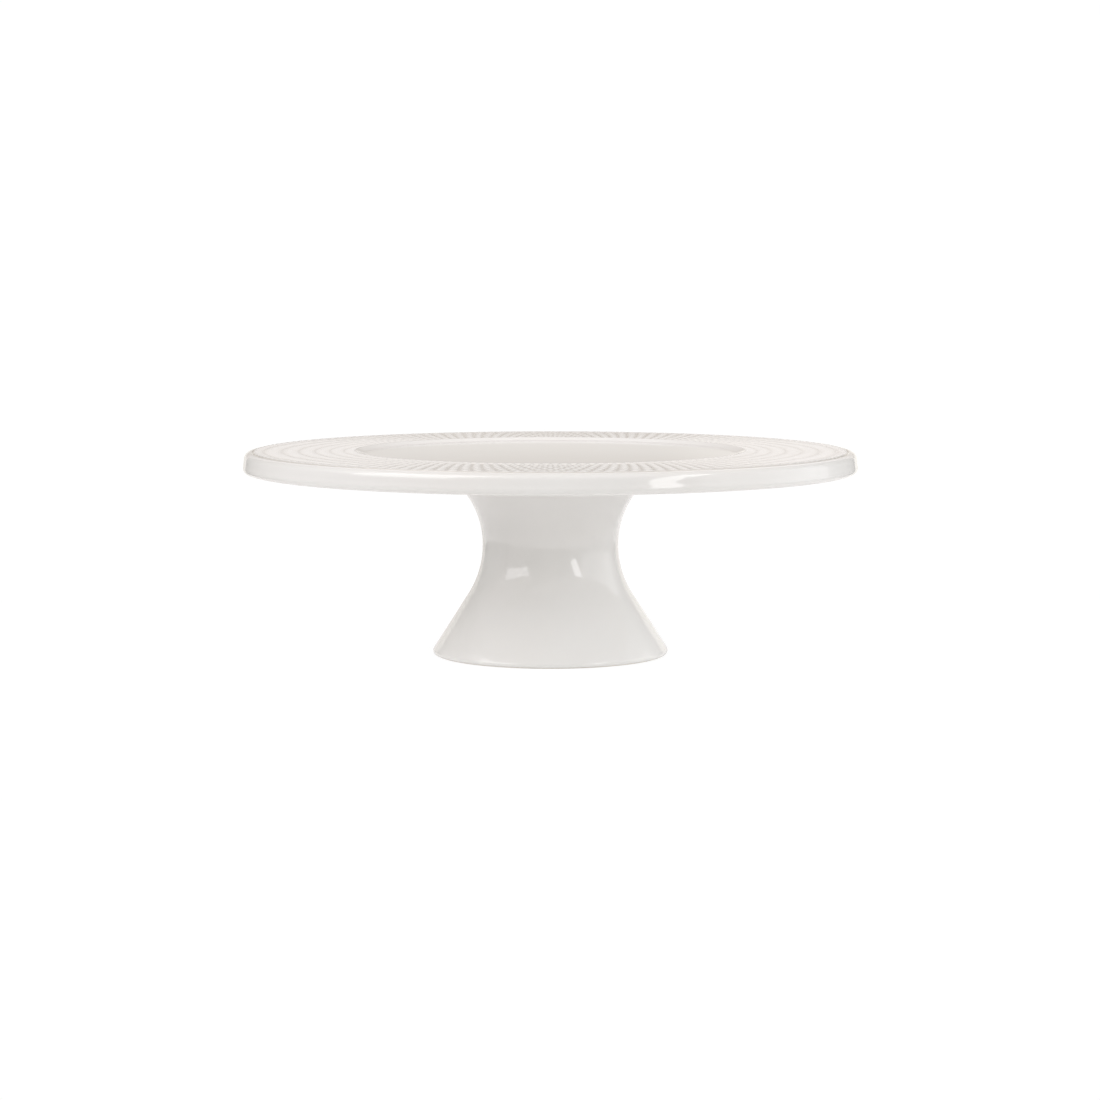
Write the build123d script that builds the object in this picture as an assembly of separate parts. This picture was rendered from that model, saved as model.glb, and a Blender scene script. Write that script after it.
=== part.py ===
from build123d import *
import math
import os

# Footed porcelain cake stand, in millimetres, +Z up.
# The origin is on the stand's axis, in the plane that the foot rests on.
# The plate and the pedestal are separate pieces, clamped together by a stud
# that is cemented under the plate and a nut inside the hollow pedestal.

# Plate
PLATE_RADIUS = 150.0
OVERALL_HEIGHT = 100.4  # top of the patterned border
RIM_HEIGHT = 9.9  # outer band, from the top of the bead to its lower edge
RIM_LEAN = 7.0  # how far the outer band leans in towards its top, in degrees
RIM_TOP_ROUND = 3.2
RIM_FOOT_ROUND = 2.4
LIP_WIDTH = 7.0  # the band's width, seen from below
BEAD_WIDTH = 5.4
BEAD_DROP = 0.5  # how far the bead's top lies under the patterned border
CREASE_DEPTH = 0.4  # depth of the crease between border and bead, under the bead's top
CREASE_WIDTH = 1.2
BORDER_INNER_RADIUS = 95.0
WELL_RADIUS = 90.5
WELL_DEPTH = 1.6  # depth of the well under the patterned border
WALL_UNDER_WELL = 5.2

# Joint between plate and pedestal
PEDESTAL_HEIGHT = 84.0
GASKET_THICKNESS = 0.8
GASKET_RADIUS = 44.5
GASKET_WIDTH = 13.5
SEAT_RADIUS = 48.2
SEAT_FLARE = 8.0  # how much wider the seat grows up to the plate's underside

# Pedestal
WAIST_RADIUS = 33.3
WAIST_HEIGHT = 53.9
UPPER_SWEEP = 42.2  # radius of the curve above the waist
LOWER_SWEEP = 45.8  # radius of the curve below the waist
FLARE_ANGLE = 32.5  # slant of the foot's straight cone from the vertical
FOOT_ROUND = 1.6
PEDESTAL_WALL = 5.0
FOOT_RING_INNER = 49.4
WEB_THICKNESS = 6.5

# Centre fixing, M8
THREAD_RADIUS = 3.95
STUD_LENGTH = 28.0
STUD_CHAMFER = 0.7
SOCKET_RADIUS = 6.5
SOCKET_DEPTH = 8.8
CEMENT_CAP = 0.8  # cement above the end of the stud
CEMENT_RECESS = 0.2
WEB_HOLE_RADIUS = 5.0
WASHER_RADIUS = 12.0
WASHER_HOLE_RADIUS = 4.2
RUBBER_WASHER_THICKNESS = 1.5
STEEL_WASHER_THICKNESS = 1.6
NUT_ACROSS_FLATS = 13.0
NUT_HEIGHT = 6.5
NUT_BORE_RADIUS = 4.0
NUT_CHAMFER = 0.9

# Heights worked out from the driving dimensions
bead_height = OVERALL_HEIGHT - BEAD_DROP
crease_height = bead_height - CREASE_DEPTH
well_height = OVERALL_HEIGHT - WELL_DEPTH
rim_foot_height = bead_height - RIM_HEIGHT
underside_height = well_height - WALL_UNDER_WELL
seat_height = PEDESTAL_HEIGHT + GASKET_THICKNESS
socket_top = seat_height + SOCKET_DEPTH
stud_top = socket_top - CEMENT_CAP
web_underside = PEDESTAL_HEIGHT - WEB_THICKNESS
steel_washer_top = web_underside - RUBBER_WASHER_THICKNESS
nut_top = steel_washer_top - STEEL_WASHER_THICKNESS


def turned(outline):
    """Turns a flat outline, drawn as (radius, height), about the vertical axis."""
    return revolve(Plane.XZ * outline, Axis.Z, 360)


def ring(inner, outer, bottom, height):
    """A flat ring, standing on the given height."""
    outline = Pos((inner + outer) / 2, bottom + height / 2) * Rectangle(outer - inner, height)
    return turned(outline)


def rounded(outline, corner, radius):
    """Rounds the outline's corner that is nearest to a point."""
    return fillet(outline.vertices().sort_by_distance((*corner, 0))[0], radius)


def plate():
    """A shallow well, a raised border, a beaded rim and a seat underneath."""
    border_edge = PLATE_RADIUS - BEAD_WIDTH
    lip_inner = PLATE_RADIUS - LIP_WIDTH
    # The band's lower corner lies outside its rounding, so that the rounding ends at the plate's radius
    lean = math.radians(RIM_LEAN)
    rim_foot = PLATE_RADIUS + RIM_FOOT_ROUND * (1 / math.cos(lean) - 1 + math.tan(lean))
    rim_top = rim_foot - RIM_HEIGHT * math.tan(lean)
    corners = [
        ((0, well_height), None),
        ((WELL_RADIUS, well_height), 10.0),
        ((BORDER_INNER_RADIUS, OVERALL_HEIGHT), 3.0),
        ((border_edge, OVERALL_HEIGHT), 0.3),
        ((border_edge + CREASE_WIDTH / 4, crease_height), 0.2),
        ((border_edge + CREASE_WIDTH, bead_height), 0.4),
        ((rim_top, bead_height), RIM_TOP_ROUND),
        ((rim_foot, rim_foot_height), RIM_FOOT_ROUND),
        ((lip_inner, rim_foot_height), 2.0),
        ((lip_inner - 1.5, underside_height), 1.2),
        ((SEAT_RADIUS + SEAT_FLARE, underside_height), 6.0),
        ((SEAT_RADIUS, seat_height), 1.2),
        ((SOCKET_RADIUS, seat_height), 0.4),
        ((SOCKET_RADIUS, socket_top), 0.4),
        ((0, socket_top), None),
    ]
    points = [point for point, _ in corners]
    radii = [radius for _, radius in corners[1:-1]]
    outline = FilletPolyline(*points, radius=radii) + Line(points[-1], points[0])
    return turned(make_face(outline.edges()))


def sweep_angle(height, sweep):
    """Angle of the waist's curve, from the horizontal, where it reaches a height."""
    return math.degrees(math.asin(abs(height - WAIST_HEIGHT) / sweep))


def pedestal_side(offset, top, bottom):
    """The side from top to bottom: a waist of two arcs over a straight cone."""
    upper = UPPER_SWEEP + offset
    lower = LOWER_SWEEP + offset
    rise = sweep_angle(top, upper)
    upper_centre = (WAIST_RADIUS + UPPER_SWEEP, WAIST_HEIGHT)
    lower_centre = (WAIST_RADIUS + LOWER_SWEEP, WAIST_HEIGHT)
    above = CenterArc(upper_centre, upper, 180 - rise, rise)
    below = CenterArc(lower_centre, lower, 180, FLARE_ANGLE)
    start = below @ 1
    drop = start.Y - bottom
    end = (start.X + drop * math.tan(math.radians(FLARE_ANGLE)), bottom)
    return above, below, Line(start, end)


def pedestal():
    """A hollow waisted foot, closed near the top by a web with a centre hole."""
    outside = pedestal_side(0, PEDESTAL_HEIGHT, 0)
    inside = pedestal_side(PEDESTAL_WALL, web_underside, 0)
    seat_edge = outside[0] @ 0
    foot_edge = outside[2] @ 1
    web_edge = inside[0] @ 0
    body = make_face(
        [
            *outside,
            Line(foot_edge, (0, 0)),
            Line((0, 0), (0, PEDESTAL_HEIGHT)),
            Line((0, PEDESTAL_HEIGHT), seat_edge),
        ]
    )
    body = rounded(body, (seat_edge.X, seat_edge.Y), 1.2)
    body = rounded(body, (foot_edge.X, foot_edge.Y), FOOT_ROUND)
    hollow = make_face(
        [
            *inside,
            Line(inside[2] @ 1, (0, 0)),
            Line((0, 0), (0, web_underside)),
            Line((0, web_underside), web_edge),
        ]
    )
    hollow = rounded(hollow, (web_edge.X, web_edge.Y), 6.0)
    hollow &= Pos(FOOT_RING_INNER / 2, PEDESTAL_HEIGHT / 2) * Rectangle(FOOT_RING_INNER, PEDESTAL_HEIGHT)
    hole = Pos(WEB_HOLE_RADIUS / 2, PEDESTAL_HEIGHT / 2) * Rectangle(WEB_HOLE_RADIUS, PEDESTAL_HEIGHT)
    outline = body - hollow - hole
    outline = rounded(outline, (FOOT_RING_INNER, 0), 0.8)
    return turned(outline)


def seat_gasket():
    """A soft ring that keeps the two glazed faces apart."""
    return ring(GASKET_RADIUS - GASKET_WIDTH, GASKET_RADIUS, PEDESTAL_HEIGHT, GASKET_THICKNESS)


def threaded_stud():
    """The M8 stud, at its thread's outside diameter."""
    rod = Pos(0, 0, stud_top - STUD_LENGTH / 2) * Cylinder(THREAD_RADIUS, STUD_LENGTH)
    return chamfer(rod.edges().filter_by(GeomType.CIRCLE), STUD_CHAMFER)


def stud_cement():
    """Cement that fills the plate's blind socket around the stud's upper end."""
    height = SOCKET_DEPTH - CEMENT_RECESS
    fill = Pos(0, 0, socket_top - height / 2) * Cylinder(SOCKET_RADIUS, height)
    fill = fillet(fill.edges().filter_by(GeomType.CIRCLE).sort_by(Axis.Z)[-1], 0.4)
    return fill - threaded_stud()


def hex_nut():
    """An M8 hexagon nut with both faces chamfered at the corners."""
    bottom = nut_top - NUT_HEIGHT
    corner_radius = NUT_ACROSS_FLATS / math.sqrt(3)
    prism = extrude(RegularPolygon(corner_radius, 6), NUT_HEIGHT)
    blank = Pos(0, 0, NUT_HEIGHT / 2) * Cylinder(corner_radius, NUT_HEIGHT)
    blank = chamfer(blank.edges().filter_by(GeomType.CIRCLE), NUT_CHAMFER / 2, NUT_CHAMFER)
    bore = Pos(0, 0, NUT_HEIGHT / 2) * Cylinder(NUT_BORE_RADIUS, NUT_HEIGHT)
    return Pos(0, 0, bottom) * (prism & blank) - Pos(0, 0, bottom) * bore


def nodes():
    """Every separate piece, by name."""
    rubber_bottom = web_underside - RUBBER_WASHER_THICKNESS
    return {
        "plate": plate(),
        "pedestal": pedestal(),
        "seat_gasket": seat_gasket(),
        "threaded_stud": threaded_stud(),
        "stud_cement": stud_cement(),
        "rubber_washer": ring(WASHER_HOLE_RADIUS, WASHER_RADIUS, rubber_bottom, RUBBER_WASHER_THICKNESS),
        "steel_washer": ring(WASHER_HOLE_RADIUS, WASHER_RADIUS, nut_top, STEEL_WASHER_THICKNESS),
        "hex_nut": hex_nut(),
    }


os.makedirs("parts", exist_ok=True)
for name, solid in nodes().items():
    solid.label = name
    export_step(solid, f"parts/{name}.step")
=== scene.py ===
import math

import bpy
import numpy as np
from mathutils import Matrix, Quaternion, Vector


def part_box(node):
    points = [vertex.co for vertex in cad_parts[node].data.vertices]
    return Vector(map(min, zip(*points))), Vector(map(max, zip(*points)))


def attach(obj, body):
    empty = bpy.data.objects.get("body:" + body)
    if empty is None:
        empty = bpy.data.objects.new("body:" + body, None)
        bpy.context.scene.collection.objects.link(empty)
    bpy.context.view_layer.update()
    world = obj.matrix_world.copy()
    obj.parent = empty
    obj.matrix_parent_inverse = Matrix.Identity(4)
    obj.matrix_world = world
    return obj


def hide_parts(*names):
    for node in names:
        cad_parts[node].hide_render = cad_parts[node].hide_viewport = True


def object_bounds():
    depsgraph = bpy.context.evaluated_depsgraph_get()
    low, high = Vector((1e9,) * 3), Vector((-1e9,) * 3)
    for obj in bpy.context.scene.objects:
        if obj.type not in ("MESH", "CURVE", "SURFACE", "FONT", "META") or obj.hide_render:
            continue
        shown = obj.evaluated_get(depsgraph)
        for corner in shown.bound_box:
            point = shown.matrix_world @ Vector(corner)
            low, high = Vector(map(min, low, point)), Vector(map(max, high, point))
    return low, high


# Looks of the footed porcelain cake stand. Lengths are in metres, in the frame of the CAD model.

MM = 0.001

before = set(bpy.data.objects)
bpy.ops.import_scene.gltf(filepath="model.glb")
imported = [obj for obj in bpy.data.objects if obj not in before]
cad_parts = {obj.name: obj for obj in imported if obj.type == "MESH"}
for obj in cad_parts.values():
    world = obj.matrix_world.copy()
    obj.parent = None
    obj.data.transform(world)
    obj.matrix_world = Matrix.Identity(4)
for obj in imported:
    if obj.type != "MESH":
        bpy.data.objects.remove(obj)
cad_low, cad_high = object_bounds()
plate_low, plate_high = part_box("plate")
pedestal_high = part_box("pedestal")[1]
cement_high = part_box("stud_cement")[1]
stud_low, stud_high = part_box("threaded_stud")
rubber_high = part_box("rubber_washer")[1]

# Plate, from the frame
PLATE_RADIUS = plate_high.x
PLATE_TOP = plate_high.z
SEAT_HEIGHT = plate_low.z
SOCKET_TOP = cement_high.z
# Plate, details
BEAD_WIDTH = 5.4 * MM
BEAD_TOP = PLATE_TOP - 0.5 * MM
CREASE_HEIGHT = BEAD_TOP - 0.4 * MM
CREASE_WIDTH = 1.2 * MM
BORDER_INNER = 95.0 * MM
BORDER_OUTER = PLATE_RADIUS - BEAD_WIDTH
WELL_RADIUS = 90.5 * MM
WELL_HEIGHT = PLATE_TOP - 1.6 * MM
UNDERSIDE_HEIGHT = WELL_HEIGHT - 5.2 * MM
LIP_INNER = PLATE_RADIUS - 7.0 * MM
SEAT_RADIUS = 48.2 * MM
SEAT_FLARE = 8.0 * MM
SOCKET_RADIUS = 6.5 * MM
# Outer band of the rim
RIM_FOOT = BEAD_TOP - 9.9 * MM
RIM_TOP_ROUND = 3.2 * MM
RIM_FOOT_ROUND = 2.4 * MM
RIM_LEAN = math.radians(7.0)  # the band leans in towards its top
RIM_RIPPLE = math.radians(2.0)  # how much the lean varies down the band
RIM_RIPPLE_LENGTH = 3.3 * MM
RIM_RIPPLE_HEIGHT = BEAD_TOP - 7.8 * MM  # where the band is steepest

# Relief of the border: two mirrored families of spiral ribs
RIB_COUNT = 144
RIB_TWIST = 48.0  # ribs passed for each e-fold of radius
RIB_HEIGHT = 0.7 * MM  # from the pits to the peaks, which are at the plate's top
RIB_FULLNESS = 0.9  # below 1, the grooves are narrower than the ribs between them
RIB_FADE = 2.5 * MM  # over which the relief dies out towards the well
RIB_EDGE = 0.15  # how much of the relief's depth is left at the border's outer edge
BORDER_SEGMENTS = RIB_COUNT * 12
BORDER_RINGS = 48
PLAIN_SEGMENTS = 288
LONGEST_RUN = 12.0 * MM  # between two rings of the plain parts
LONGEST_BAND_RUN = 0.25 * MM  # between two rings of the rippled band

# Pedestal
PEDESTAL_TOP = pedestal_high.z
WAIST_RADIUS = 33.3 * MM
WAIST_HEIGHT = 53.9 * MM
UPPER_SWEEP = 42.2 * MM
LOWER_SWEEP = 45.8 * MM
FLARE_ANGLE = math.radians(32.5)
FOOT_ROUND = 1.6 * MM
PEDESTAL_WALL = 5.0 * MM
WEB_UNDERSIDE = rubber_high.z
WEB_HOLE = 5.0 * MM
FOOT_RING_INNER = 49.4 * MM
LONGEST_SIDE_RUN = 4.0 * MM  # between two rings
BARE_FOOT = 0.5 * MM  # the glaze stops this far above the table
BARE_EDGE = 0.1 * MM  # half the width over which it stops

# Stud
STUD_RADIUS = stud_high.x
THREAD_PITCH = 1.25 * MM
THREAD_DEPTH = 0.7 * MM
THREAD_FLANK = 2.6  # steepness of the groove's flanks, in depths for each pitch
THREAD_ROOT = 0.1  # how far below the flat root the flanks would meet, in depths
STUD_CHAMFER = 0.7 * MM
STUD_SEGMENTS = 48
RINGS_PER_PITCH = 10

# Glaze and biscuit, as linear colours
GLAZE_WARM = (0.80, 0.785, 0.765)
GLAZE_COOL = (0.82, 0.812, 0.80)
# Darker cream for the relief's pits and the crease: partly glaze that pools there, partly painted shade
# of the pits and the crease
POOLED_GLAZE_AND_SHADE = (0.60, 0.565, 0.52)
BISCUIT_DARK = (0.60, 0.55, 0.48)
BISCUIT_LIGHT = (0.74, 0.70, 0.64)
GLAZE_ROUGHNESS = (0.012, 0.026)  # where it is smoothest and where it is least smooth
GLAZE_IOR = 1.55
BISCUIT_ROUGHNESS = 0.55  # over that of the glaze
POOL_AND_SHADE = "pool_and_shade"  # mesh attribute: how much of the darker cream a vertex gets, for pooled glaze and painted shade, from 0 to 1

# Colour stops of the hidden pieces: place in the noise, colour
STEEL_STOPS = [
    (0.3, (0.48, 0.48, 0.47)),
    (0.55, (0.64, 0.64, 0.65)),
    (0.8, (0.70, 0.70, 0.69)),
]
RUBBER_STOPS = [(0.35, (0.018, 0.018, 0.018)), (0.75, (0.055, 0.054, 0.052))]
SILICONE_STOPS = [(0.3, (0.70, 0.70, 0.67)), (0.7, (0.80, 0.80, 0.78))]
CEMENT_STOPS = [
    (0.3, (0.36, 0.34, 0.31)),
    (0.5, (0.50, 0.48, 0.44)),
    (0.7, (0.60, 0.58, 0.54)),
]

# View; only the focal length and the sensor are in millimetres
CAMERA_SIDE = -0.0002
CAMERA_DISTANCE = 1.400
CAMERA_HEIGHT = 0.1955
AIM_HEIGHT = 0.0508
FOCAL_LENGTH = 93.63
SENSOR = 36.0


# Directions in the room: azimuth 0 is the camera's side and 90 is its right, in degrees.
# Room: its own colour, then soft patches of light (azimuth, elevation, reach, colour)
ROOM_COLOUR = (0.18, 0.17, 0.155)
ROOM_WHITE = 1.02  # as the camera sees it, just past white so that it stays even
ROOM_GLOWS = [
    (80, 10, 60, (0.53, 0.54, 0.56)),
    (-80, 10, 60, (0.16, 0.17, 0.18)),
    (130, 15, 50, (0.38, 0.39, 0.39)),
    (-130, 15, 50, (0.24, 0.25, 0.24)),
    (60, 45, 40, (0.30, 0.28, 0.30)),
    (-60, 45, 40, (1.25, 1.16, 1.20)),
    (0, 90, 60, (0.23, 0.20, 0.18)),
    (0, 32, 22, (0.15, 0.15, 0.14)),
    (0, 20, 50, (0.13, 0.16, 0.15)),
]
# Soft boxes: name, azimuth, elevation, distance, width, height, roll, radiance
SOFT_BOXES = [
    ("left_box", -57, 37, 2.0, 1.45, 1.8, 0, 2.0),
    ("right_strip", 50.5, 27, 2.0, 0.38, 1.9, -30, 3.8),
    ("right_panel", 88, 12, 2.0, 2.6, 1.1, 0, 0.6),
]
# The table and the upright card behind it
TABLE_WIDTH = 0.62
TABLE_GAP = 0.1 * MM  # under the foot
TABLE_FRONT = 0.38
TABLE_COLOUR = (0.8, 0.8, 0.8, 1)
TABLE_GLOW = 0.225
TABLE_WHITE = 1.05
TABLE_WHITE_SHARE = 0.8
CARD_DISTANCE = 0.39
CARD_HEIGHT = 0.6
# Light that the card gives off: share of its height, colour
CARD_STOPS = [
    (0.0, (0.84, 0.81, 0.77)),
    (0.18, (0.90, 0.87, 0.82)),
    (0.203, (0.75, 0.72, 0.68)),
    (0.23, (0.58, 0.54, 0.50)),
    (0.27, (0.63, 0.60, 0.57)),
    (0.42, (0.70, 0.68, 0.66)),
    (0.6, (1.0, 0.97, 0.95)),
]
CARD_SIDE = (0.06, 0.13)  # where it turns brighter towards the right
CARD_SIDE_GAIN = 1.2


# ---------------------------------------------------------------- profiles

def arc(centre, radius, start, end, steps):
    """Points on an arc, angles in radians, both ends included."""
    angles = np.linspace(start, end, steps + 1)
    return [(centre[0] + radius * math.cos(a), centre[1] + radius * math.sin(a)) for a in angles]


def rounded(corners, steps=6):
    """An outline through corners (radius, height, rounding), with each rounding as an arc."""
    points = []
    for i, (x, y, rounding) in enumerate(corners):
        here = np.array((x, y))
        if not rounding:
            points.append((x, y))
            continue
        before = np.array(corners[i - 1][:2]) - here
        after = np.array(corners[i + 1][:2]) - here
        before /= np.linalg.norm(before)
        after /= np.linalg.norm(after)
        half = math.acos(np.clip(before @ after, -1, 1)) / 2
        middle = (before + after) / np.linalg.norm(before + after)
        centre = here + middle * rounding / math.sin(half)
        start = here + before * rounding / math.tan(half) - centre
        end = here + after * rounding / math.tan(half) - centre
        a = math.atan2(start[1], start[0])
        turn = (math.atan2(end[1], end[0]) - a + math.pi) % (2 * math.pi) - math.pi
        points += arc(centre, rounding, a, a + turn, steps)
    return points


def spread(points, longest):
    """Adds points to the runs of an outline that are longer than a length."""
    result = [points[0]]
    for start, end in zip(points, points[1:]):
        count = max(1, math.ceil(math.dist(start, end) / longest))
        for i in range(1, count + 1):
            share = i / count
            result.append(tuple(s + (e - s) * share for s, e in zip(start, end)))
    return result


# ---------------------------------------------------------------- meshes

def turns(segments):
    """The angles of a ring's vertices, in radians."""
    return np.arange(segments) * 2 * math.pi / segments


def ring_points(radius, height, segments):
    """One ring of vertices. The radius and the height are one number, or one for each vertex."""
    angles = turns(segments)
    return np.column_stack((radius * np.cos(angles), radius * np.sin(angles), np.full(segments, height)))


def ring_faces(a, count_a, b, count_b):
    """Faces between two rings of vertices; one count is a multiple of the other."""
    if count_a == count_b:
        return [(a + i, a + (i + 1) % count_a, b + (i + 1) % count_a, b + i) for i in range(count_a)]
    if count_a < count_b:
        return [face[::-1] for face in ring_faces(b, count_b, a, count_a)]
    ratio = count_a // count_b
    faces = []
    for j in range(count_b):
        near = b + j
        far = b + (j + 1) % count_b
        for i in range(ratio):
            fine = a + j * ratio + i
            after = a + (j * ratio + i + 1) % count_a
            faces.append((fine, after, near if i < ratio // 2 else far))
            if i == ratio // 2 - 1:
                faces.append((after, far, near))
    return faces


def lathe(name, rings):
    """A closed mesh from rings (radius, height, segments); a ring of radius 0 is a single point."""
    vertices = []
    starts = []
    total = 0
    for radius, height, segments in rings:
        count = segments if np.any(radius) else 1
        starts.append((total, count))
        vertices.append(ring_points(radius, height, count))
        total += count
    faces = []
    pairs = list(zip(starts, starts[1:]))
    if np.any(rings[0][0]):
        pairs.append((starts[-1], starts[0]))
    for (a, count_a), (b, count_b) in pairs:
        if count_a == 1:
            faces += [(a, b + (i + 1) % count_b, b + i) for i in range(count_b)]
        elif count_b == 1:
            faces += [(a + i, a + (i + 1) % count_a, b) for i in range(count_a)]
        else:
            faces += ring_faces(a, count_a, b, count_b)
    mesh = bpy.data.meshes.new(name)
    mesh.from_pydata(np.vstack(vertices).tolist(), [], [face[::-1] for face in faces])
    mesh.polygons.foreach_set("use_smooth", [True] * len(mesh.polygons))
    mesh.update()
    piece = bpy.data.objects.new(name, mesh)
    bpy.context.scene.collection.objects.link(piece)
    return piece


# ---------------------------------------------------------------- plate

def relief(radius):
    """Height of the border's relief, round one ring: 0 at the peaks and -1 in the pits."""
    angles = turns(BORDER_SEGMENTS)
    twist = RIB_TWIST * math.log(radius / BORDER_OUTER)
    left = np.abs(np.cos((RIB_COUNT * angles + twist) / 2))
    right = np.abs(np.cos((RIB_COUNT * angles - twist) / 2))
    inner = np.clip((radius - BORDER_INNER) / RIB_FADE, 0, 1)
    outer = np.clip(RIB_EDGE + (BORDER_OUTER - radius) / RIB_FADE, 0, 1)
    return ((left * right) ** RIB_FULLNESS - 1) * inner * inner * (3 - 2 * inner) * outer


def rim_corners():
    """The band's two corners; the lower one lies outside the rounding that ends at the plate's radius."""
    foot = PLATE_RADIUS + RIM_FOOT_ROUND * (1 / math.cos(RIM_LEAN) - 1 + math.tan(RIM_LEAN))
    top = foot - (BEAD_TOP - RIM_FOOT) * math.tan(RIM_LEAN)
    return (top, BEAD_TOP, RIM_TOP_ROUND), (foot, RIM_FOOT, RIM_FOOT_ROUND)


def rippled(point):
    """Moves a point of the outer band in or out by the band's soft ripple."""
    radius, height = point
    over_foot = np.clip((height - RIM_FOOT) / RIM_FOOT_ROUND, 0, 1)
    under_top = np.clip((BEAD_TOP - height) / RIM_TOP_ROUND, 0, 1)
    wave = math.sin(2 * math.pi * (height - RIM_RIPPLE_HEIGHT) / RIM_RIPPLE_LENGTH)
    depth = math.tan(RIM_RIPPLE) * RIM_RIPPLE_LENGTH / (2 * math.pi)
    return radius + depth * wave * over_foot * under_top, height


def make_plate():
    """The plate: a plain well, the border with its relief, the bead, the band and the underside."""
    well = rounded(
        [
            (0, WELL_HEIGHT, 0),
            (WELL_RADIUS, WELL_HEIGHT, 10 * MM),
            (BORDER_INNER, PLATE_TOP, 3 * MM),
            (BORDER_OUTER, PLATE_TOP, 0),
        ],
        8,
    )[:-1]
    rings = [(r, z, PLAIN_SEGMENTS) for r, z in spread(well, LONGEST_RUN)]
    pools_and_shade = [np.zeros(1 + PLAIN_SEGMENTS * (len(rings) - 1))]
    first = well[-1][0]
    for i in range(1, BORDER_RINGS + 1):
        radius = first * (BORDER_OUTER / first) ** (i / BORDER_RINGS)
        waves = relief(radius)
        rings.append((radius, PLATE_TOP + RIB_HEIGHT * waves, BORDER_SEGMENTS))
        # The pits get the darker cream, most where the relief is deepest: partly pooled glaze, partly
        # painted shade
        pools_and_shade.append(waves * waves)
    rim_top, rim_foot = rim_corners()
    bead = rounded(
        [
            (BORDER_OUTER, PLATE_TOP, 0),
            (BORDER_OUTER + CREASE_WIDTH / 4, CREASE_HEIGHT, 0.2 * MM),
            (BORDER_OUTER + CREASE_WIDTH, BEAD_TOP, 0.4 * MM),
            rim_top,
            (*rim_foot[:2], 0),
        ],
        12,
    )[1:-1]
    underside = rounded(
        [
            (*bead[-1], 0),
            rim_foot,
            (LIP_INNER, RIM_FOOT, 2.0 * MM),
            (LIP_INNER - 1.5 * MM, UNDERSIDE_HEIGHT, 1.2 * MM),
            (SEAT_RADIUS + SEAT_FLARE, UNDERSIDE_HEIGHT, 6.0 * MM),
            (SEAT_RADIUS, SEAT_HEIGHT, 1.2 * MM),
            (SOCKET_RADIUS, SEAT_HEIGHT, 0.4 * MM),
            (SOCKET_RADIUS, SOCKET_TOP, 0.4 * MM),
            (0, SOCKET_TOP, 0),
        ],
        8,
    )
    band = spread([bead[-1], underside[1]], LONGEST_BAND_RUN)
    outside = bead + [rippled(point) for point in band[1:-1]] + underside[1:]
    for radius, height in spread(outside, LONGEST_RUN):
        rings.append((radius, height, PLAIN_SEGMENTS))
        # The crease's wall gets the darker cream in full: painted shade of the narrow crease, in the
        # pooled glaze's colour
        crease_shade = radius < BORDER_OUTER + CREASE_WIDTH and CREASE_HEIGHT <= height < BEAD_TOP
        pools_and_shade.append(np.full(PLAIN_SEGMENTS if radius else 1, float(crease_shade)))
    piece = lathe("porcelain_plate", rings)
    # Stores for each vertex its share of the darker cream: pooled glaze and painted shade
    pool_and_shade = np.concatenate(pools_and_shade)
    piece.data.attributes.new(POOL_AND_SHADE, "FLOAT", "POINT").data.foreach_set("value", pool_and_shade)
    return piece


# ---------------------------------------------------------------- pedestal

def pedestal_side(offset, top):
    """Points down the pedestal's side, from a height to the start of the straight cone."""
    upper = UPPER_SWEEP + offset
    lower = LOWER_SWEEP + offset
    rise = math.asin((top - WAIST_HEIGHT) / upper)
    upper_centre = (WAIST_RADIUS + UPPER_SWEEP, WAIST_HEIGHT)
    lower_centre = (WAIST_RADIUS + LOWER_SWEEP, WAIST_HEIGHT)
    above = arc(upper_centre, upper, math.pi - rise, math.pi, 24)
    below = arc(lower_centre, lower, math.pi, math.pi + FLARE_ANGLE, 24)
    return above + below[1:]


def cone_at(start, height):
    """The point where the cone that starts at a point comes down to a height."""
    return (start[0] + (start[1] - height) * math.tan(FLARE_ANGLE), height)


def make_pedestal():
    """The hollow pedestal: seat, waisted side, foot ring, inside and web."""
    outside = pedestal_side(0, PEDESTAL_TOP)
    inside = pedestal_side(PEDESTAL_WALL, WEB_UNDERSIDE)
    foot_edge = cone_at(outside[-1], 0)
    inner_height = inside[-1][1] - (FOOT_RING_INNER - inside[-1][0]) / math.tan(FLARE_ANGLE)
    seat = rounded(
        [
            (WEB_HOLE, PEDESTAL_TOP, 0),
            (outside[0][0], PEDESTAL_TOP, 1.2 * MM),
            (*outside[2], 0),
        ]
    )[:-1]
    foot = rounded(
        [
            (*outside[-1], 0),
            (*foot_edge, FOOT_ROUND),
            (FOOT_RING_INNER, 0, 0.8 * MM),
            (FOOT_RING_INNER, inner_height, 4.0 * MM),
            (*inside[-1], 0),
        ],
        8,
    )
    web = rounded(
        [
            (*inside[3], 0),
            (inside[0][0], WEB_UNDERSIDE, 6.0 * MM),
            (WEB_HOLE, WEB_UNDERSIDE, 0),
        ]
    )[1:]
    points = seat + outside[2:-1] + foot + inside[-2:3:-1] + web
    rings = [(r, z, PLAIN_SEGMENTS) for r, z in spread(points, LONGEST_SIDE_RUN)]
    return lathe("porcelain_pedestal", rings)


# ---------------------------------------------------------------- stud

def thread_ring(height):
    """Radii round the stud at one height, where the thread's groove winds round it."""
    turn = (height / THREAD_PITCH - turns(STUD_SEGMENTS) / (2 * math.pi)) % 1
    groove = np.clip(1 + THREAD_ROOT - THREAD_FLANK * np.abs(turn - 0.5), 0, 1)
    from_end = min(height - stud_low.z, stud_high.z - height)
    limit = STUD_RADIUS - STUD_CHAMFER + min(from_end, STUD_CHAMFER)
    return np.minimum(STUD_RADIUS - THREAD_DEPTH * groove, limit)


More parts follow.
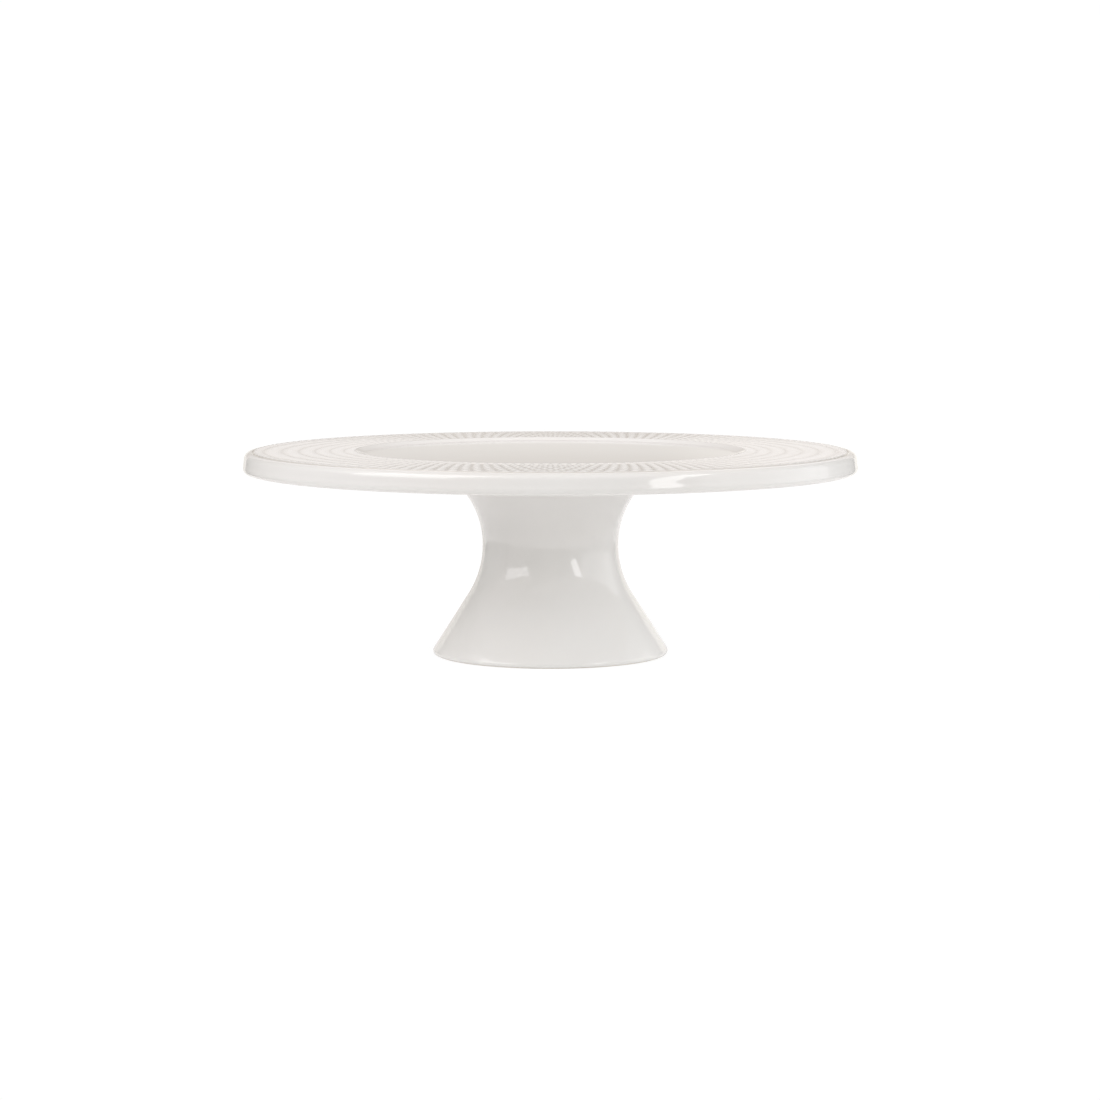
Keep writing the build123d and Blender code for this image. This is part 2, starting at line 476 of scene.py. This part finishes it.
def make_stud():
    """The stud with its helical thread and chamfered ends."""
    count = round((stud_high.z - stud_low.z) / THREAD_PITCH * RINGS_PER_PITCH)
    heights = np.linspace(stud_high.z, stud_low.z, count + 1)
    side = [(thread_ring(z), z, STUD_SEGMENTS) for z in heights]
    return lathe("steel_stud", [(0, stud_high.z, 1), *side, (0, stud_low.z, 1)])


# ---------------------------------------------------------------- materials

def new_material(name):
    """A material with its own Principled shader, and the parts of its node tree."""
    material = bpy.data.materials.new(name)
    material.use_nodes = True
    nodes = material.node_tree.nodes
    return material, nodes, material.node_tree.links, nodes["Principled BSDF"]


def noise(nodes, links, scale, detail=2.0, stretch=(1, 1, 1)):
    """A noise texture in object space; scale is in features for each metre."""
    place = nodes.new("ShaderNodeTexCoord")
    mapping = nodes.new("ShaderNodeMapping")
    mapping.inputs["Scale"].default_value = stretch
    texture = nodes.new("ShaderNodeTexNoise")
    texture.inputs["Scale"].default_value = scale
    texture.inputs["Detail"].default_value = detail
    links.new(place.outputs["Object"], mapping.inputs["Vector"])
    links.new(mapping.outputs["Vector"], texture.inputs["Vector"])
    return texture.outputs["Fac"]


def ramp(nodes, links, value, *stops):
    """A colour ramp through stops (position, colour)."""
    node = nodes.new("ShaderNodeValToRGB")
    elements = node.color_ramp.elements
    for element, (position, colour) in zip(elements, stops):
        element.position = position
        element.color = (*colour, 1)
    for position, colour in stops[2:]:
        elements.new(position).color = (*colour, 1)
    links.new(value, node.inputs["Fac"])
    return node.outputs["Color"]


def between(nodes, links, value, start, end, low, high):
    """A value that goes smoothly from low to high while another goes from start to end."""
    node = nodes.new("ShaderNodeMapRange")
    node.interpolation_type = "SMOOTHSTEP"
    node.inputs["From Min"].default_value = start
    node.inputs["From Max"].default_value = end
    node.inputs["To Min"].default_value = low
    node.inputs["To Max"].default_value = high
    links.new(value, node.inputs["Value"])
    return node.outputs["Result"]


def blended(nodes, links, share, first, second):
    """A mix of two colours, each a socket or a fixed colour; share is how much there is of the second."""
    node = nodes.new("ShaderNodeMix")
    node.data_type = "RGBA"
    links.new(share, node.inputs["Factor"])
    for name, colour in (("A", first), ("B", second)):
        socket = next(item for item in node.inputs if item.name == name and item.type == "RGBA")
        if isinstance(colour, tuple):
            socket.default_value = (*colour, 1)
        else:
            links.new(colour, socket)
    return next(item for item in node.outputs if item.type == "RGBA")


def bump(nodes, links, height, depth):
    """A bump of a depth in metres."""
    node = nodes.new("ShaderNodeBump")
    node.inputs["Strength"].default_value = 1.0
    node.inputs["Distance"].default_value = depth
    links.new(height, node.inputs["Height"])
    return node.outputs["Normal"]


def coordinate(nodes, links, axis):
    """One of the object's own coordinates; Z is the height over the table."""
    place = nodes.new("ShaderNodeTexCoord")
    split = nodes.new("ShaderNodeSeparateXYZ")
    links.new(place.outputs["Object"], split.inputs["Vector"])
    return split.outputs[axis]


def porcelain():
    """Glazed porcelain: a darker cream in the relief's pits and in the crease, partly where the glaze
    pools and partly painted shade, and bare under the foot.
    """
    material, nodes, links, shader = new_material("glazed_porcelain")
    cloud = noise(nodes, links, scale=14.0, detail=3.0)
    glaze = ramp(nodes, links, cloud, (0.3, GLAZE_WARM), (0.7, GLAZE_COOL))
    # Mixes in the darker cream of pooled glaze and painted shade, by the mesh attribute
    pool_and_shade = nodes.new("ShaderNodeAttribute")
    pool_and_shade.attribute_name = POOL_AND_SHADE
    colour = blended(nodes, links, pool_and_shade.outputs["Fac"], glaze, POOLED_GLAZE_AND_SHADE)
    grain = noise(nodes, links, scale=2500.0)
    height = coordinate(nodes, links, "Z")
    bare = between(nodes, links, height, BARE_FOOT - BARE_EDGE, BARE_FOOT + BARE_EDGE, 1, 0)
    biscuit = ramp(nodes, links, grain, (0.35, BISCUIT_DARK), (0.65, BISCUIT_LIGHT))
    links.new(blended(nodes, links, bare, colour, biscuit), shader.inputs["Base Color"])
    wear = noise(nodes, links, scale=40.0, detail=3.0)
    sheen = between(nodes, links, wear, 0.3, 0.7, *GLAZE_ROUGHNESS)
    gloss = nodes.new("ShaderNodeMath")
    gloss.operation = "MULTIPLY_ADD"
    gloss.inputs[1].default_value = BISCUIT_ROUGHNESS
    links.new(bare, gloss.inputs[0])
    links.new(sheen, gloss.inputs[2])
    links.new(gloss.outputs["Value"], shader.inputs["Roughness"])
    shader.inputs["IOR"].default_value = GLAZE_IOR
    waves = noise(nodes, links, scale=45.0, detail=1.0)
    links.new(bump(nodes, links, waves, depth=0.01 * MM), shader.inputs["Normal"])
    return material


def steel():
    """Zinc-plated steel with turned marks and faint staining."""
    material, nodes, links, shader = new_material("plated_steel")
    stain = noise(nodes, links, scale=180.0, detail=4.0)
    links.new(ramp(nodes, links, stain, *STEEL_STOPS), shader.inputs["Base Color"])
    shader.inputs["Metallic"].default_value = 1.0
    sheen = between(nodes, links, stain, 0.3, 0.7, low=0.42, high=0.26)
    links.new(sheen, shader.inputs["Roughness"])
    marks = noise(nodes, links, scale=300.0, detail=3.0, stretch=(1, 1, 12))
    links.new(bump(nodes, links, marks, depth=0.02 * MM), shader.inputs["Normal"])
    return material


def rubber():
    """Black rubber with a fine moulded grain and a little grey bloom."""
    material, nodes, links, shader = new_material("black_rubber")
    bloom = noise(nodes, links, scale=220.0, detail=4.0)
    links.new(ramp(nodes, links, bloom, *RUBBER_STOPS), shader.inputs["Base Color"])
    sheen = between(nodes, links, bloom, 0.3, 0.7, low=0.62, high=0.85)
    links.new(sheen, shader.inputs["Roughness"])
    grain = noise(nodes, links, scale=3000.0)
    links.new(bump(nodes, links, grain, depth=0.03 * MM), shader.inputs["Normal"])
    return material


def silicone():
    """Milky silicone, slightly uneven in thickness."""
    material, nodes, links, shader = new_material("milky_silicone")
    cloud = noise(nodes, links, scale=90.0, detail=3.0)
    links.new(ramp(nodes, links, cloud, *SILICONE_STOPS), shader.inputs["Base Color"])
    sheen = between(nodes, links, cloud, 0.3, 0.7, low=0.30, high=0.42)
    links.new(sheen, shader.inputs["Roughness"])
    grain = noise(nodes, links, scale=600.0)
    links.new(bump(nodes, links, grain, depth=0.02 * MM), shader.inputs["Normal"])
    return material


def cement():
    """Pale cement with sand grains and pores."""
    material, nodes, links, shader = new_material("pale_cement")
    grain = noise(nodes, links, scale=1400.0, detail=5.0)
    links.new(ramp(nodes, links, grain, *CEMENT_STOPS), shader.inputs["Base Color"])
    sheen = between(nodes, links, grain, 0.3, 0.7, low=0.95, high=0.8)
    links.new(sheen, shader.inputs["Roughness"])
    links.new(bump(nodes, links, grain, depth=0.15 * MM), shader.inputs["Normal"])
    return material


def dress(piece, material):
    """Gives a new piece its material."""
    piece.data.materials.append(material)


def redress(node, material):
    """Gives a CAD node a better material in the slots that it has."""
    for slot in bpy.data.objects[node].material_slots:
        slot.material = material


# ---------------------------------------------------------------- stage, light and camera

def link(obj):
    """Puts a new object in the scene."""
    bpy.context.scene.collection.objects.link(obj)
    return obj


def soft_box(name, azimuth, elevation, distance, width, height, roll, radiance):
    """A rectangular light that faces the stand; roll turns it about its own axis."""
    data = bpy.data.lights.new(name, "AREA")
    data.shape = "RECTANGLE"
    data.size = width
    data.size_y = height
    data.energy = radiance * math.pi * width * height
    light = link(bpy.data.objects.new(name, data))
    outward = direction(azimuth, elevation)
    light.location = outward * distance + Vector((0, 0, AIM_HEIGHT))
    light.rotation_mode = "QUATERNION"
    turn = Quaternion((0, 0, 1), math.radians(roll))
    light.rotation_quaternion = (-outward).to_track_quat("-Z", "Y") @ turn
    light.visible_camera = False


def stage_plane(name, corners, material):
    """A flat rectangle of the stage, from its four corners."""
    mesh = bpy.data.meshes.new(name)
    mesh.from_pydata(corners, [], [(0, 1, 2, 3)])
    plane = link(bpy.data.objects.new(name, mesh))
    dress(plane, material)
    return plane


def make_table():
    """A pale table that lights the stand from below; seen directly, it is nearly white."""
    material, nodes, links, shader = new_material("pale_table")
    shader.inputs["Base Color"].default_value = TABLE_COLOUR
    shader.inputs["Roughness"].default_value = 1.0
    shader.inputs["Specular IOR Level"].default_value = 0.0
    shader.inputs["Emission Color"].default_value = (1, 1, 1, 1)
    shader.inputs["Emission Strength"].default_value = TABLE_GLOW
    white = nodes.new("ShaderNodeEmission")
    white.inputs["Strength"].default_value = TABLE_WHITE
    path = nodes.new("ShaderNodeLightPath")
    share = nodes.new("ShaderNodeMath")
    share.operation = "MULTIPLY"
    share.inputs[1].default_value = TABLE_WHITE_SHARE
    links.new(path.outputs["Is Camera Ray"], share.inputs[0])
    mix = nodes.new("ShaderNodeMixShader")
    links.new(share.outputs["Value"], mix.inputs["Fac"])
    links.new(shader.outputs["BSDF"], mix.inputs[1])
    links.new(white.outputs["Emission"], mix.inputs[2])
    links.new(mix.outputs["Shader"], nodes["Material Output"].inputs["Surface"])
    x = TABLE_WIDTH / 2
    z = cad_low.z - TABLE_GAP
    front = [(-x, -TABLE_FRONT, z), (x, -TABLE_FRONT, z)]
    back = [(x, CARD_DISTANCE, z), (-x, CARD_DISTANCE, z)]
    stage_plane("table", front + back, material)


def make_card():
    """A glowing card behind the table, unevenly bright, which shows only in reflections."""
    material, nodes, links, shader = new_material("white_card")
    nodes.remove(shader)
    glow = nodes.new("ShaderNodeEmission")
    share = nodes.new("ShaderNodeMath")
    share.operation = "DIVIDE"
    share.inputs[1].default_value = CARD_HEIGHT
    links.new(coordinate(nodes, links, "Z"), share.inputs[0])
    links.new(ramp(nodes, links, share.outputs["Value"], *CARD_STOPS), glow.inputs["Color"])
    side = between(nodes, links, coordinate(nodes, links, "X"), *CARD_SIDE, 1.0, CARD_SIDE_GAIN)
    links.new(side, glow.inputs["Strength"])
    links.new(glow.outputs["Emission"], nodes["Material Output"].inputs["Surface"])
    x = TABLE_WIDTH / 2
    y = CARD_DISTANCE
    lower = [(-x, y, 0), (x, y, 0)]
    upper = [(x, y, CARD_HEIGHT), (-x, y, CARD_HEIGHT)]
    card = stage_plane("card", lower + upper, material)
    card.visible_camera = False


def direction(azimuth, elevation):
    """Unit vector towards a place in the room."""
    a = math.radians(azimuth)
    e = math.radians(elevation)
    return Vector((math.sin(a) * math.cos(e), -math.cos(a) * math.cos(e), math.sin(e)))


def add_glow(nodes, links, place, total, glow):
    """Adds a soft patch of light, centred on a direction, to the room's colour."""
    azimuth, elevation, reach, colour = glow
    facing = nodes.new("ShaderNodeVectorMath")
    facing.operation = "DOT_PRODUCT"
    facing.inputs[1].default_value = direction(azimuth, elevation)
    links.new(place, facing.inputs[0])
    falloff = nodes.new("ShaderNodeMapRange")
    falloff.interpolation_type = "SMOOTHSTEP"
    falloff.inputs["From Min"].default_value = math.cos(math.radians(reach))
    falloff.inputs["From Max"].default_value = 1.0
    links.new(facing.outputs["Value"], falloff.inputs["Value"])
    patch = nodes.new("ShaderNodeVectorMath")
    patch.operation = "MULTIPLY_ADD"
    patch.inputs[1].default_value = colour
    links.new(falloff.outputs["Result"], patch.inputs[0])
    links.new(total, patch.inputs[2])
    return patch.outputs["Vector"]


def make_world():
    """A dim room with a few soft patches of light; seen directly, it is plain white."""
    world = bpy.data.worlds.new("studio")
    world.use_nodes = True
    nodes = world.node_tree.nodes
    links = world.node_tree.links
    place = nodes.new("ShaderNodeTexCoord").outputs["Generated"]
    room = nodes.new("ShaderNodeCombineXYZ")
    for axis, value in zip("XYZ", ROOM_COLOUR):
        room.inputs[axis].default_value = value
    total = room.outputs["Vector"]
    for glow in ROOM_GLOWS:
        total = add_glow(nodes, links, place, total, glow)
    links.new(total, nodes["Background"].inputs["Color"])
    white = nodes.new("ShaderNodeBackground")
    white.inputs["Color"].default_value = (1, 1, 1, 1)
    white.inputs["Strength"].default_value = ROOM_WHITE
    path = nodes.new("ShaderNodeLightPath")
    mix = nodes.new("ShaderNodeMixShader")
    links.new(path.outputs["Is Camera Ray"], mix.inputs["Fac"])
    links.new(nodes["Background"].outputs["Background"], mix.inputs[1])
    links.new(white.outputs["Background"], mix.inputs[2])
    links.new(mix.outputs["Shader"], nodes["World Output"].inputs["Surface"])
    bpy.context.scene.world = world


def make_camera():
    """The camera, in front of the stand and a hand's width higher than its plate."""
    data = bpy.data.cameras.new("camera")
    data.sensor_width = SENSOR
    data.lens = FOCAL_LENGTH
    camera = link(bpy.data.objects.new("camera", data))
    camera.location = (CAMERA_SIDE, -CAMERA_DISTANCE, CAMERA_HEIGHT)
    aim = Vector((CAMERA_SIDE, 0, AIM_HEIGHT)) - camera.location
    camera.rotation_mode = "QUATERNION"
    camera.rotation_quaternion = aim.to_track_quat("-Z", "Y")
    bpy.context.scene.camera = camera


def stand_for(piece, node, material):
    """Puts a new piece in the place of a CAD node."""
    dress(piece, material)
    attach(piece, "root")
    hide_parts(node)


glaze = porcelain()
metal = steel()
stand_for(make_plate(), "plate", glaze)
stand_for(make_pedestal(), "pedestal", glaze)
stand_for(make_stud(), "threaded_stud", metal)
redress("steel_washer", metal)
redress("hex_nut", metal)
redress("rubber_washer", rubber())
redress("seat_gasket", silicone())
redress("stud_cement", cement())

make_table()
make_card()
make_world()
make_camera()
for box in SOFT_BOXES:
    soft_box(*box)
bpy.context.scene.view_settings.view_transform = "Standard"
